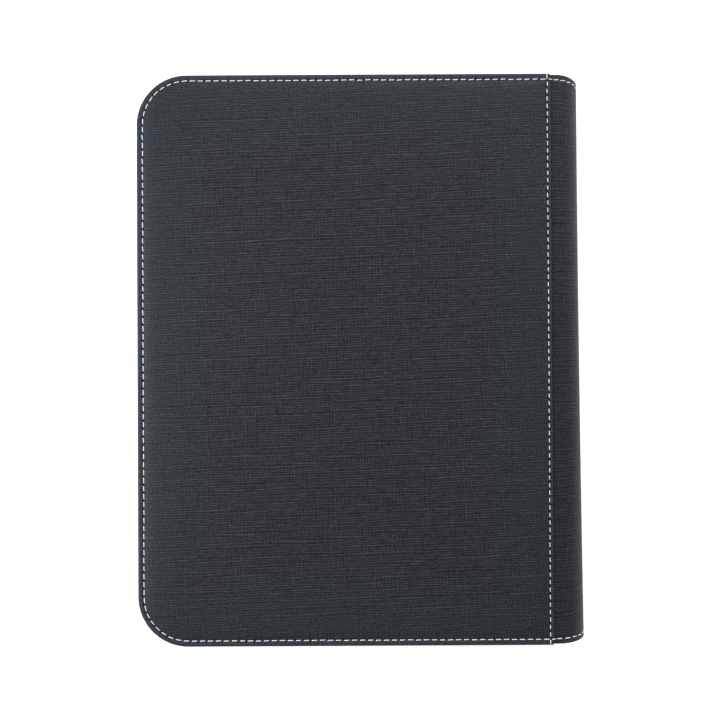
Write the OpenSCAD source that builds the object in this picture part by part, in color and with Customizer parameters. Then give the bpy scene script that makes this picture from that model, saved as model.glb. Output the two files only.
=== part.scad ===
// Zippered card binder, closed and lying on its front cover.
// X runs from the fore edge to the spine, Y along the spine, and Z up through the thickness.
// The origin is under the middle of the closed binder, on the surface that it lies on.

/* [Overall] */
// Height along the spine
overall_h = 342; // [320:1:380]
// Width from the fore edge to the back of the spine
overall_w = 268; // [262:1:300]
// Thickness over both covers
overall_t = 40; // [40:1:50]
// Radius of the two corners at the fore edge
corner_r = 30; // [20:1:36]

/* [Covers] */
// Thickness of the cover leather
leather_t = 0.9; // [0.7:0.1:1.1]
// Thickness of the foam pad under the leather
foam_t = 1.2; // [0.8:0.1:1.6]
// Thickness of the board in each cover
board_t = 1.4; // [1:0.1:1.6]
// Thickness of the cloth lining
lining_t = 0.5; // [0.3:0.1:0.6]
// Thickness of the leather rim, where its edge is turned under
rim_t = 1.5; // [1.2:0.1:1.8]
// Distance from the outline to the leather edge
leather_in = 0.5; // [0.3:0.1:1]
// Distance from the outline to the padded part
pad_in = 7; // [6.5:0.1:8]
// Distance from the outline to the board and foam
board_in = 9; // [8.5:0.1:12]
// Distance from the back of the spine to the folded edge of the cover leather
fold_in = 19.9; // [19:0.1:21]

/* [Spine] */
// Thickness of the spine leather
spine_leather_t = 0.9; // [0.7:0.1:1.1]
// Thickness of the spine lining
spine_lining_t = 0.5; // [0.3:0.1:0.6]
// Width of spine leather lapped under each cover
lap_w = 10.4; // [8:0.1:12]

/* [Stitching] */
// Length of one stitch
stitch_l = 3.2; // [2.5:0.1:3.5]
// Width of one stitch
stitch_w = 0.9; // [0.6:0.1:1.2]
// Height of one stitch above the leather
stitch_h = 0.35; // [0.2:0.05:0.5]
// Spacing of the stitches along the edges
edge_pitch = 4.75; // [4:0.05:6]
// Spacing of the stitches along the seam beside the spine
seam_pitch = 4.4; // [4:0.05:6]
// Distance from the outline to the edge stitching
edge_stitch_in = 3.8; // [2.5:0.1:4]
// Distance from the folded edge to the seam stitching
seam_stitch_in = 2.1; // [1.5:0.1:3]

/* [Zip] */
// Thickness of the zip tape
tape_t = 0.6; // [0.4:0.1:0.7]
// Distance from the outline to the middle of the tape wall
wall_in = 5.5; // [5.5:0.1:6]
// Width of a coil row across the tape
coil_w = 2.2; // [1.8:0.1:2.4]
// Height of a coil row
coil_h = 2.4; // [2:0.1:2.6]
// Gap between the two undone coil rows
coil_gap = 1.2; // [1.1:0.1:1.6]

/* [Slider] */
// Length of the slider along the zip
slider_l = 15; // [12:0.5:18]
// Height of the slider plates
slider_h = 10; // [10:0.5:12]
// Thickness of each slider plate
slider_t = 1; // [0.8:0.1:1]
// Length of the pull tab from its pin
pull_l = 24; // [18:1:26]
// Width of the pull tab
pull_w = 7; // [6:0.5:9]
// Thickness of the pull tab
pull_t = 1.2; // [1:0.1:1.2]

/* [Pages] */
// Number of pocket leaves
leaves = 20; // [8:2:20]
// Spacing of the leaves at the spine
leaf_pitch = 1.4; // [1:0.1:1.4]
// Width of a leaf from its crease to its fore edge
leaf_w = 226; // [200:1:228]
// Height of a leaf
leaf_h = 294; // [270:1:300]
// Thickness of a leaf's core sheet
core_t = 0.3; // [0.2:0.05:0.4]
// Thickness of the pocket film
film_t = 0.15; // [0.1:0.05:0.2]
// Pocket columns on a leaf
columns = 3; // [2:1:4]

/* [Hidden] */
$fn = 96;
mid_z = overall_t / 2;
fore_x = -overall_w / 2;
top_y = overall_h / 2;

// levels of the upper cover, from its outer face down
pad_z = overall_t - leather_t;
foam_z = pad_z - foam_t;
board_z = foam_z - board_t;
lining_z = board_z - lining_t;
rim_z = board_z + rim_t;

// the padded part rises from the rim with a round shoulder
pad_h = overall_t - rim_z;
pad_edge = min(0.9 * pad_h, board_in - pad_in);
pad_corner_r = 2 * (board_in - pad_in);

// the spine is a half round between the two rims
spine_r = board_z - mid_z;
spine_x = overall_w / 2 - stitch_h - spine_r;
fold_x = overall_w / 2 - fold_in;
spine_gap = 0.1;
lining_r = spine_r - spine_leather_t - spine_gap;
lining_leg = 5;
lap_x = spine_x - lap_w;
lap_clear = 0.3;
seam_band = 5.2;
pad_right = fold_x - seam_band;
board_right = pad_right - board_in + pad_in;
lining_gap = 0.2;
lining_right = lap_x - lining_gap;
lining_in = wall_in + tape_t / 2 + lining_gap;

// zip
wall_y = top_y - wall_in;
tape_back = 0.5;
wall_back = 3.5;
coil_back = 4;
tape_end_x = spine_x - tape_back;
wall_end_x = spine_x - wall_back;
coil_low = coil_gap / 2;
coil_high = coil_low + coil_h;
coil_end_x = wall_end_x - coil_back;
stop_l = 2;
stop_leg = 1.5;
slider_back = 2;
slider_x = coil_end_x - slider_l / 2 - slider_back;
park_gap = 1;
rear_coil_end_x = slider_x - slider_l / 2 - park_gap;
slider_gap = 0.4;
channel = coil_w / 2 + slider_gap;
slot_gap = 0.5;
slot = tape_t / 2 + slot_gap;
lip_h = 1.4;
post_gap = 0.25;
post_h = coil_gap - 2 * post_gap;
post_l = 3;
post_in = 1;
plate_r = 2;
ear_l = 3;
ear_t = 1;
ear_gap = 1.6;
ear_y = 2;
pin_r = 0.5;
pin_x = 3;
pin_y = channel + slider_t + ear_y / 2;
pin_fit = 0.05;
bore_r = pin_r + pin_fit;
knuckle_r = 0.9;
knuckle_gap = 0.2;
knuckle_h = 2 * (ear_gap - knuckle_gap);
neck_l = 3.2;
neck_lap = 1;

// pages: the creases step in to the middle leaf, so that the open leaves lie over one another
stack_in = 3;
crease_gap = 0.35;
crease = core_t / 2;
film_in = 6;
film_gap = 1;
film_margin = 2;
film_end = 1;
film_w = (leaf_w - film_in - film_margin - (columns - 1) * film_gap) / columns;
block_in = 4.4;
block_back = 14.2;
block_half = 4;

function leaf_z(i) = mid_z + (i - (leaves - 1) / 2) * leaf_pitch;
function leaf_x(i) = spine_x + stack_in
    - leaf_pitch * ((leaves - 1) / 2 - abs(i - (leaves - 1) / 2));
function page_name(i) = str("page_", i < 9 ? "0" : "", i + 1);

// place along the edge stitching, from the spine end of the +Y edge round to that of the -Y edge
edge_r = corner_r - edge_stitch_in;
edge_x = fore_x + edge_stitch_in;
edge_y = top_y - edge_stitch_in;
edge_arc = PI / 2 * edge_r;
edge_end_x = fold_x - seam_stitch_in;
edge_run = edge_end_x - edge_x - edge_r;
edge_side = 2 * (edge_y - edge_r);
edge_len = 2 * edge_run + 2 * edge_arc + edge_side;
edge_n = floor(edge_len / edge_pitch);
seam_end = 1;
seam_len = overall_h - 2 * (leather_in + seam_end);
seam_n = floor(seam_len / seam_pitch);
hem_in = edge_stitch_in - leather_in;
hem_y = top_y - leather_in - hem_in;
hem_n = floor(PI * spine_r / edge_pitch);

function on_run(d, y, turn) = [edge_end_x - d, y, turn];
function on_arc(a) = [edge_x + edge_r - edge_r * sin(a), edge_y - edge_r + edge_r * cos(a), 180 + a];
function on_side(d) = [edge_x, edge_y - edge_r - d, 270];
function flip_y(p) = [p[0], -p[1], -p[2]];
function half_edge(d) =
    d < edge_run ? on_run(d, edge_y, 180)
    : d < edge_run + edge_arc ? on_arc((d - edge_run) / edge_r * 180 / PI)
    : on_side(d - edge_run - edge_arc);
function edge_place(d) =
    d <= edge_len / 2 ? half_edge(d) : flip_y(half_edge(edge_len - d));

// outline of a cover, moved in by inset, with its two round corners at the fore edge
module outline(inset, right) {
    r = corner_r - inset;
    x = fore_x + inset;
    y = top_y - inset;
    translate([x + r, -y]) square([right - x - r, 2 * y]);
    translate([x, r - y]) square([2 * r, 2 * (y - r)]);
    for (side = [-1, 1]) translate([x + r, side * (y - r)]) circle(r = r);
}

module slab(inset, right, low, high) {
    translate([0, 0, low]) linear_extrude(high - low) outline(inset, right);
}

// strip that follows the outline round the three open edges
module band(out, in, right, low, high) {
    translate([0, 0, low]) linear_extrude(high - low) difference() {
        outline(out, right);
        outline(in, right + 1);
    }
}

// turns a piece of the rear cover into its twin on the front cover
module front() {
    translate([0, 0, overall_t]) mirror([0, 0, 1]) children();
}

// section across the edge of the padded part, r wide, with its round shoulder on the +X side
module pad_profile(r) {
    square([r, pad_h - pad_edge]);
    square([r - pad_edge, pad_h]);
    translate([r - pad_edge, pad_h - pad_edge]) intersection() {
        circle(r = pad_edge);
        square(pad_edge);
    }
}

// straight edge of the padded part, which faces +X and runs towards -Y before it is turned
module pad_side(x, y, turn, length, r) {
    translate([x, y, rim_z]) rotate([90, 0, turn]) linear_extrude(length) pad_profile(r);
}

// corner of the padded part, a quarter turn from +X to +Y before it is turned
module pad_corner(x, y, turn, r) {
    translate([x, y, rim_z]) rotate([0, 0, turn]) rotate_extrude(angle = 90) pad_profile(r);
}

module cover_pad() {
    fore_r = corner_r - pad_in;
    left = fore_x + corner_r;
    right = pad_right - pad_corner_r;
    fore_y = top_y - corner_r;
    side_y = top_y - pad_in - pad_corner_r;
    translate([left, -side_y, rim_z]) cube([right - left, 2 * side_y, pad_h]);
    pad_side(right, side_y, 0, 2 * side_y, pad_corner_r);
    pad_side(left, side_y, 90, right - left, pad_corner_r);
    pad_side(left, -fore_y, 180, 2 * fore_y, fore_r);
    pad_side(right, -side_y, 270, right - left, pad_corner_r);
    pad_corner(right, side_y, 0, pad_corner_r);
    pad_corner(left, fore_y, 90, fore_r);
    pad_corner(left, -fore_y, 180, fore_r);
    pad_corner(right, -side_y, 270, pad_corner_r);
}

module cover_leather() {
    color("#36383D") difference() {
        union() {
            slab(leather_in, fold_x, board_z, rim_z);
            cover_pad();
        }
        slab(board_in, board_right, board_z - 1, pad_z);
    }
}

module cover_foam() {
    color("#77797C") slab(board_in, board_right, foam_z, pad_z);
}

module cover_board() {
    color("#8A8378") slab(board_in, board_right, board_z, foam_z);
}

module cover_lining() {
    color("#222327") slab(lining_in, lining_right, lining_z, board_z);
}

// half round in the XZ plane, with straight legs towards the fore edge
module u_profile(r, t, leg) {
    difference() {
        union() {
            circle(r = r);
            translate([-leg, -r]) square([leg, 2 * r]);
        }
        circle(r = r - t);
        translate([-leg - 1, t - r]) square([leg + 1, 2 * (r - t)]);
        translate([-2 * r - leg, -2 * r]) square([2 * r, 4 * r]);
    }
}

module along_y(length) {
    translate([spine_x, length / 2, mid_z]) rotate([90, 0, 0]) linear_extrude(length) children();
}

module spine_leather() {
    leg_y = wall_y - tape_t / 2 - lap_clear;
    color("#2F3237") difference() {
        along_y(overall_h - 2 * leather_in) u_profile(spine_r, spine_leather_t, lap_w);
        for (side = [-1, 1])
            translate([lap_x - 1, side > 0 ? leg_y : -overall_h, 0])
                cube([lap_w + 1, overall_h - leg_y, overall_t]);
    }
}

module spine_lining() {
    leg_y = wall_y - tape_t / 2 - lap_clear;
    color("#222327") along_y(2 * leg_y) u_profile(lining_r, spine_lining_t, lining_leg);
}

// stacked stubs that hold the leaves, stepped to a ridge between the two middle leaves
module page_binding_block() {
    half = leaves / 2;
    steps = [
        for (i = [0 : leaves - 1], k = [-1, 1])
            if (!(i == half - 1 && k == 1) && !(i == half && k == -1))
                [leaf_x(i) + crease + crease_gap - spine_x, leaf_z(i) + k * leaf_pitch / 2 - mid_z]
    ];
    end = leaves * leaf_pitch / 2;
    back = [
        [block_in, end], [block_back, block_half], [block_back, -block_half], [block_in, -end]
    ];
    color("#3A3A3C") along_y(leaf_h) polygon(concat(steps, back));
}

module zip_tape() {
    color("#17181B") {
        band(0, wall_in + tape_t / 2, tape_end_x, board_z - tape_t, board_z);
        band(wall_in - tape_t / 2, wall_in + tape_t / 2, wall_end_x, mid_z + coil_high, board_z - tape_t);
    }
}

// coil row of one tape, which stops at low_end on the -Y edge
module zip_coil(low_end) {
    color("#101113") difference() {
        band(wall_in - coil_w / 2, wall_in + coil_w / 2, coil_end_x, mid_z + coil_low, mid_z + coil_high);
        translate([low_end, -overall_h, 0]) cube([overall_w, overall_h, overall_t]);
    }
}

// metal stop clamped over the tape edge at the end of a coil row
module zip_stop(side) {
    translate([coil_end_x, side * wall_y, mid_z]) {
        translate([0, -coil_w / 2, coil_low]) cube([stop_l, coil_w, coil_h]);
        for (face = [-1, 1])
            translate([0, face > 0 ? tape_t / 2 : -coil_w / 2, coil_high])
                cube([stop_l, (coil_w - tape_t) / 2, stop_leg]);
    }
}

module zip_stops(edges) {
    color("#8E9093") for (side = edges) zip_stop(side);
}

// plate of the slider in the XZ plane, with round corners
module plate_outline() {
    square([slider_l - 2 * plate_r, slider_h], center = true);
    square([slider_l, slider_h - 2 * plate_r], center = true);
    for (sx = [-1, 1], sz = [-1, 1])
        translate([sx * (slider_l / 2 - plate_r), sz * (slider_h / 2 - plate_r)]) circle(r = plate_r);
}

module at_slider() {
    translate([slider_x, -wall_y, mid_z]) children();
}

// flat shape in the XZ plane, thickened from the y given towards +Y
module flat_xz(y, t) {
    translate([0, y + t, 0]) rotate([90, 0, 0]) linear_extrude(t) children();
}

module zip_slider() {
    color("#85878A") at_slider() {
        flat_xz(-channel - slider_t, slider_t) plate_outline();
        flat_xz(channel, slider_t) plate_outline();
        translate([-slider_l / 2 + post_in, -channel, -post_h / 2]) cube([post_l, 2 * channel, post_h]);
        for (face = [-1, 1], sz = [-1, 1])
            translate([
                plate_r - slider_l / 2,
                face > 0 ? slot : -channel,
                sz > 0 ? slider_h / 2 - lip_h : -slider_h / 2
            ]) cube([slider_l - 2 * plate_r, channel - slot, lip_h]);
        for (sz = [-1, 1])
            translate([pin_x - ear_l / 2, -pin_y - ear_y / 2, sz > 0 ? ear_gap : -ear_gap - ear_t])
                cube([ear_l, ear_y, ear_t]);
        translate([pin_x, -pin_y, -ear_gap - ear_t / 2]) cylinder(r = pin_r, h = 2 * ear_gap + ear_t);
    }
}

module zip_pull_tab() {
    blade_l = pull_l - neck_l - pull_w / 2;
    color("#85878A") at_slider() translate([pin_x, -pin_y, 0]) difference() {
        union() {
            translate([0, 0, -knuckle_h / 2]) cylinder(r = knuckle_r, h = knuckle_h);
            translate([-neck_l - neck_lap, -pull_t / 2, -knuckle_h / 2])
                cube([neck_l + neck_lap, pull_t, knuckle_h]);
            flat_xz(-pull_t / 2, pull_t) {
                translate([-neck_l - blade_l, -pull_w / 2]) square([blade_l, pull_w]);
                translate([-neck_l - blade_l, 0]) circle(r = pull_w / 2);
            }
        }
        translate([0, 0, -knuckle_h]) cylinder(r = bore_r, h = 2 * knuckle_h);
    }
}

module stitch() {
    translate([-stitch_l / 2, -stitch_w / 2, 0]) cube([stitch_l, stitch_w, stitch_h]);
}

module edge_stitching() {
    step = edge_len / edge_n;
    color("#E2E4E7") for (k = [0 : edge_n - 1]) {
        p = edge_place((k + 0.5) * step);
        translate([p[0], p[1], rim_z]) rotate([0, 0, p[2]]) stitch();
    }
}

module seam_stitching() {
    step = seam_len / seam_n;
    color("#E2E4E7") for (k = [0 : seam_n - 1])
        translate([fold_x - seam_stitch_in, -seam_len / 2 + (k + 0.5) * step, rim_z])
            rotate([0, 0, 90]) stitch();
}

// hem stitches on the two ends of the spine, each following the round
module spine_hem_stitching() {
    turn = stitch_l / spine_r * 180 / PI;
    step = 180 / hem_n;
    color("#E2E4E7") for (side = [-1, 1], k = [0 : hem_n - 1])
        translate([spine_x, side * hem_y, mid_z]) rotate([90, 0, 0])
            rotate([0, 0, -90 + (k + 0.5) * step - turn / 2])
                rotate_extrude(angle = turn)
                    translate([spine_r, -stitch_w / 2]) square([stitch_h, stitch_w]);
}

// pocket leaf: a core sheet with columns of pocket film on both faces
module page(i) {
    color("#2B2C30") translate([leaf_x(i), 0, leaf_z(i)]) {
        translate([-leaf_w, -leaf_h / 2, -core_t / 2]) cube([leaf_w + crease, leaf_h, core_t]);
        for (k = [0 : columns - 1], face = [-1, 1])
            translate([
                -film_in - film_w - k * (film_w + film_gap),
                film_end - leaf_h / 2,
                face > 0 ? core_t / 2 : -core_t / 2 - film_t
            ]) cube([film_w, leaf_h - 2 * film_end, film_t]);
    }
}

front() cover_leather();  // front_cover_leather
front() cover_foam();  // front_cover_foam
front() cover_board();  // front_cover_board
front() cover_lining();  // front_cover_lining
cover_leather();  // rear_cover_leather
cover_foam();  // rear_cover_foam
cover_board();  // rear_cover_board
cover_lining();  // rear_cover_lining
spine_leather();
spine_lining();
page_binding_block();
front() zip_tape();  // front_zip_tape
zip_tape();  // rear_zip_tape
front() zip_coil(coil_end_x);  // front_zip_coil
zip_coil(rear_coil_end_x);  // rear_zip_coil
front() zip_stops([-1, 1]);  // front_zip_stops
zip_stops([1]);  // rear_zip_stops
zip_slider();
zip_pull_tab();
front() edge_stitching();  // front_edge_stitching
edge_stitching();  // rear_edge_stitching
front() seam_stitching();  // front_seam_stitching
seam_stitching();  // rear_seam_stitching
spine_hem_stitching();
for (i = [0 : leaves - 1])
    page(i);
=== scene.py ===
import math
import random

import bmesh
import bpy
from mathutils import Matrix, Vector, kdtree, noise


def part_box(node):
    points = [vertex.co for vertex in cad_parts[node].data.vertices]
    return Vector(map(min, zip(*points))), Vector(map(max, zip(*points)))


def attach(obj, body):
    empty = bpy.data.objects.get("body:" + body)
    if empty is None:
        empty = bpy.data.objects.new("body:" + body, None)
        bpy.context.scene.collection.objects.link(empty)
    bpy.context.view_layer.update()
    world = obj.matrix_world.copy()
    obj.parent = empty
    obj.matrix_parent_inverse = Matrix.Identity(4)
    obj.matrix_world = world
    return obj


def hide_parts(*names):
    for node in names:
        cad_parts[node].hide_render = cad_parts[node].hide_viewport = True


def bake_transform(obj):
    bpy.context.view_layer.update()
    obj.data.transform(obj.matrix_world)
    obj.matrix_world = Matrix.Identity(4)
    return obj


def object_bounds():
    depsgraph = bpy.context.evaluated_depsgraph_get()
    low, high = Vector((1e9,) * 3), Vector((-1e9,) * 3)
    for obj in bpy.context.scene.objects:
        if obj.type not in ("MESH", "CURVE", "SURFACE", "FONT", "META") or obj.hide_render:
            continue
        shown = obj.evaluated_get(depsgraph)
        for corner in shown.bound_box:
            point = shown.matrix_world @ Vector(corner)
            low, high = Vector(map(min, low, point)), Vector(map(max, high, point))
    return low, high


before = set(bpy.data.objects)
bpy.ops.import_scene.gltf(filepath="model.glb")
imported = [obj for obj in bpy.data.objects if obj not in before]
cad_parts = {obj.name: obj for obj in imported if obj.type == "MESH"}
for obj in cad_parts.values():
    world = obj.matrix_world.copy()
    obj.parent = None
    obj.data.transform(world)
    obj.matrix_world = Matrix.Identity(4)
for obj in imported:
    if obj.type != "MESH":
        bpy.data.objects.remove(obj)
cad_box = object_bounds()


# Cover boards: a sheet of grey recycled board in each cover, die cut with two round corners.
# It is glued between the foam pad and the lining, and its pressed fibres give a dull, mottled face.
MM = 0.001
COVERS = ("rear", "front")


def linear(code):
    """The linear colour of an sRGB hex code."""
    parts = [int(code[i:i + 2], 16) / 255 for i in (1, 3, 5)]
    return [c / 12.92 if c <= 0.04045 else ((c + 0.055) / 1.055) ** 2.4 for c in parts] + [1]


def add(tree, kind, inputs=(), **settings):
    """Adds a node with its settings. An input takes a value, or the output socket that feeds it."""
    node = tree.nodes.new("ShaderNode" + kind)
    for name, value in settings.items():
        setattr(node, name, value)
    for name, value in dict(inputs).items():
        if isinstance(value, bpy.types.NodeSocket):
            tree.links.new(value, node.inputs[name])
        else:
            node.inputs[name].default_value = value
    return node


def new_finish(name):
    """An empty material and its node tree."""
    finish = bpy.data.materials.new(name)
    finish.use_nodes = True
    finish.node_tree.nodes.clear()
    return finish, finish.node_tree


def dress(node, finish):
    """Gives a carried-over solid its finish."""
    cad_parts[node].data.materials.clear()
    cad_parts[node].data.materials.append(finish)


# pressed board: pale grey-brown pulp with darker fibres a millimetre or so long, and no gloss
board_finish, tree = new_finish("pressed grey board")
place = add(tree, "TexCoord").outputs["Object"]
fibres = add(tree, "TexNoise", {"Vector": place, "Scale": 1 / (1.2 * MM), "Detail": 5}).outputs["Fac"]
pulp = add(tree, "Mix", {0: fibres, 6: linear("#6B655B"), 7: linear("#A59D90")}, data_type="RGBA")
rough = add(tree, "Bump", {"Height": fibres, "Distance": 0.15 * MM})
shader = add(tree, "BsdfPrincipled", {
    "Base Color": pulp.outputs[2], "Roughness": 0.92, "Normal": rough.outputs[0]})
add(tree, "OutputMaterial", {"Surface": shader.outputs[0]})
for cover in COVERS:
    dress(f"{cover}_cover_board", board_finish)


# Foam pads: a thin sheet of closed-cell foam on the outer face of each board, cut to the same outline.
# The leather drawn over it presses its edges round, which is what makes the cover feel padded.
CORNER_R = 30 * MM
tape_low, tape_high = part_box("rear_zip_tape")
FORE_X, HEAD_Y = tape_low.x, tape_high.y
MID_Z = (cad_box[0].z + cad_box[1].z) / 2
ARC_STEPS = 40


def cover_outline(bm, left, right, half, radius, z, steps=ARC_STEPS):
    """A flat face that is square beside the spine and has two round corners at the fore edge."""
    ends = ((right, half), (left, half), (left, -half), (right, -half))
    corners = [bm.verts.new((x, y, z)) for x, y in ends]
    bm.faces.new(corners)
    bmesh.ops.bevel(bm, geom=corners[1:3], offset=radius, offset_type="OFFSET", segments=steps,
                    profile=0.5, affect="VERTICES", material=-1)
    bm.faces.ensure_lookup_table()
    return bm.faces[-1]


def new_of(made, kind):
    """The elements of one kind among those that an operator made."""
    return [g for g in made if isinstance(g, kind)]


def raised(bm, face, height):
    """Pulls a face up into a slab and gives back the slab's top face."""
    made = bmesh.ops.extrude_face_region(bm, geom=[face])["geom"]
    bmesh.ops.translate(bm, vec=(0, 0, height), verts=new_of(made, bmesh.types.BMVert))
    return new_of(made, bmesh.types.BMFace)[0]


def to_front(bm):
    """Mirrors a mesh of the rear cover through the binder's middle, for its twin on the front cover."""
    bmesh.ops.scale(bm, vec=(1, 1, -1), verts=bm.verts)
    bmesh.ops.translate(bm, vec=(0, 0, 2 * MID_Z), verts=bm.verts)
    bmesh.ops.reverse_faces(bm, faces=bm.faces)


def make(name, bm, finishes, sharp=50):
    """Turns a bmesh into a piece, smooth but for edges sharper than the angle given."""
    mesh = bpy.data.meshes.new(name)
    bm.to_mesh(mesh)
    bm.free()
    for finish in finishes:
        mesh.materials.append(finish)
    mesh.shade_smooth()
    mesh.set_sharp_from_angle(angle=math.radians(sharp))
    piece = bpy.data.objects.new(name, mesh)
    bpy.context.scene.collection.objects.link(piece)
    return piece


# polyethylene foam: mid grey and dull, with closed cells about half a millimetre wide
foam_finish, tree = new_finish("closed-cell polyethylene foam")
place = add(tree, "TexCoord").outputs["Object"]
cells = add(tree, "TexVoronoi", {"Vector": place, "Scale": 1 / (0.5 * MM)}).outputs["Distance"]
grey = add(tree, "Mix", {0: cells, 6: linear("#8B8D90"), 7: linear("#5E6063")}, data_type="RGBA")
dimples = add(tree, "Bump", {"Height": cells, "Distance": 0.1 * MM}, invert=True)
shader = add(tree, "BsdfPrincipled", {
    "Base Color": grey.outputs[2], "Roughness": 0.85, "Normal": dimples.outputs[0]})
add(tree, "OutputMaterial", {"Surface": shader.outputs[0]})

FOAM_EDGE = 1.0 * MM
FOAM_STEPS = 4
CLEARANCE = 0.05 * MM
foam_low, foam_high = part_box("rear_cover_foam")
for cover in COVERS:
    bm = bmesh.new()
    radius = CORNER_R - (foam_low.x - FORE_X)
    sole = cover_outline(bm, foam_low.x, foam_high.x, foam_high.y, radius, foam_low.z + CLEARANCE)
    top = raised(bm, sole, foam_high.z - foam_low.z - 2 * CLEARANCE)
    bmesh.ops.bevel(bm, geom=top.edges, offset=FOAM_EDGE, offset_type="OFFSET", segments=FOAM_STEPS,
                    profile=0.5, affect="EDGES", material=-1)
    bmesh.ops.recalc_face_normals(bm, faces=bm.faces)
    if cover == "front":
        to_front(bm)
    padding = make(f"{cover}_cover_padding", bm, [foam_finish])
    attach(padding, f"{cover}_cover")
    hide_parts(f"{cover}_cover_foam")


# Cover leather: one panel of PU leather a cover, embossed like linen. Three edges are sewn down over
# the zip tape, the fourth is folded and sewn over the spine, and the panel swells over foam and board.
EDGE_PITCH = 4.75 * MM
SEAM_PITCH = 4.4 * MM
STITCH_W = 0.6 * MM
SOLID_STITCH_W = 0.9 * MM
SEAM_OVER = 0.6 * MM
skin_low, skin_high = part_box("rear_cover_leather")
row_low, row_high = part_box("rear_edge_stitching")
seam_low, seam_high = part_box("rear_seam_stitching")
ARC_X, ARC_Y = FORE_X + CORNER_R, HEAD_Y - CORNER_R
LEATHER_IN = skin_low.x - FORE_X
EDGE_ROW_IN = HEAD_Y - row_high.y + SOLID_STITCH_W / 2
FOLD_X = skin_high.x
SEAM_X = (seam_low.x + seam_high.x) / 2
SEAM_ROW_IN = FOLD_X - SEAM_X
SEAM_HALF = skin_high.y + SEAM_OVER


def edge_length(inset, end_x):
    """Length of the run round the three open edges, at that inset from the outline."""
    return 2 * (end_x - ARC_X) + math.pi * (CORNER_R - inset) + 2 * ARC_Y


def edge_place(along, inset, end_x):
    """Place and heading on that run, which starts at the spine on the head and ends there on the tail."""
    length = edge_length(inset, end_x)
    side = 1 if along <= length / 2 else -1
    along = along if side > 0 else length - along
    run, r = end_x - ARC_X, CORNER_R - inset
    if along < run:
        x, y, turn = end_x - along, HEAD_Y - inset, math.pi
    elif along < run + r * math.pi / 2:
        a = (along - run) / r
        x, y, turn = ARC_X - r * math.sin(a), ARC_Y + r * math.cos(a), math.pi + a
    else:
        x, y, turn = FORE_X + inset, ARC_Y - (along - run - r * math.pi / 2), 1.5 * math.pi
    return Vector((x, side * y, 0)), side * turn


def rows_of_stitches():
    """The edge row and the seam row of a cover, each as the places of its needle holes."""
    count = int(edge_length(EDGE_ROW_IN, SEAM_X) / EDGE_PITCH)
    step = edge_length(EDGE_ROW_IN, SEAM_X) / count
    edge = [edge_place(k * step, EDGE_ROW_IN, SEAM_X)[0] for k in range(count + 1)]
    count = int(2 * SEAM_HALF / SEAM_PITCH)
    seam = [Vector((SEAM_X, SEAM_HALF * (2 * k / count - 1), 0)) for k in range(count + 1)]
    return edge, seam


EDGE_ROW, SEAM_ROW = rows_of_stitches()
holes = kdtree.KDTree(len(EDGE_ROW) + len(SEAM_ROW))
for index, spot in enumerate(EDGE_ROW + SEAM_ROW):
    holes.insert(spot, index)
holes.balance()

RIM_Z = row_low.z
PAD_Z = skin_high.z
EDGE_ROUND = 0.75 * MM
GROOVE, GROOVE_W = 0.28 * MM, 0.6 * MM
HOLE, HOLE_W = 0.6 * MM, 0.75 * MM
SWELLS = (3.5 * MM, 0.75), (15 * MM, 0.25)
WAVE, WAVE_W = 0.12 * MM, 45 * MM
FADE_W = 30 * MM
RIM_FADE = 1.2 * MM
# ROW_SHADE is painted shade in the grooves of the rows of stitches
ROW_SHADE = 0.45


def edge_distance(x, y):
    """Distance from a point of the panel to its sewn edge."""
    if x < ARC_X and abs(y) > ARC_Y:
        return CORNER_R - LEATHER_IN - math.hypot(x - ARC_X, abs(y) - ARC_Y)
    return min(x - skin_low.x, skin_high.y - abs(y))


def outward(x, y):
    """Direction from a point of the panel to its nearest edge."""
    if x < ARC_X and abs(y) > ARC_Y:
        return Vector((x - ARC_X, y - math.copysign(ARC_Y, y), 0)).normalized()
    sides = {x - skin_low.x: (-1, 0, 0), FOLD_X - x: (1, 0, 0)}
    sides[skin_high.y - abs(y)] = (0, math.copysign(1, y), 0)
    return Vector(sides[min(sides)])


def bell(distance, width):
    """Falls smoothly from 1 to nothing at about two widths away."""
    return math.exp(-(distance / width) ** 2)


def fallen(distance):
    """How far the rounded edge has fallen at a distance from its end."""
    t = 1 - min(max(distance, 0) / EDGE_ROUND, 1)
    return EDGE_ROUND * (1 - math.sqrt(1 - t * t))


def on_rim(inside):
    """1 on the rim outside a row of stitches, fading to 0 across it. Takes the distance inside the row."""
    return 1 - min(max(inside + RIM_FADE / 2, 0) / RIM_FADE, 1)


def embossed(x, y):
    """How much of the emboss is left: it is pressed flatter towards the edges."""
    return 1 - math.exp(-max(min(edge_distance(x, y), FOLD_X - x), 0) / FADE_W)


def panel_height(x, y):
    """Height of the outer face, and how near a needle hole, a row of stitches and the rim it is."""
    edge, seam = edge_distance(x, y), FOLD_X - x
    row = EDGE_ROW_IN - LEATHER_IN
    swell = 0
    for width, share in SWELLS:
        drops = [math.exp(-2 * max(d, 0) / width) for d in (edge - row, seam - SEAM_ROW_IN)]
        swell += share * max(1 - math.sqrt(math.hypot(*drops)), 0)
    edge_row = bell(edge - row, GROOVE_W) * (x < SEAM_X)
    sunk = max(edge_row, bell(seam - SEAM_ROW_IN, GROOVE_W))
    hole = bell(holes.find((x, y, 0))[2], HOLE_W)
    slack = WAVE * (0.5 + 0.5 * noise.noise((x / WAVE_W, y / WAVE_W, 0))) * swell
    z = RIM_Z + (PAD_Z - RIM_Z) * swell - fallen(edge) - fallen(seam) - GROOVE * sunk - HOLE * hole - slack
    return z, hole, sunk, on_rim(min(edge - row, seam - SEAM_ROW_IN))


# polyurethane leather: charcoal, embossed like linen with broken threads across and finer ones along.
# Raised threads are paler and a little smoother, and flatter towards the edges, where their pale tone is
# painted bluer as a sheen. The rims are painted paler as a highlight, and the holes and grooves painted dark
# as shade.
WEFT, WARP = 1.45 * MM, 1.2 * MM
# a Wave texture of scale 1 has this many bands in one unit
WAVE_BAND = 20 / (2 * math.pi)
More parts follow.
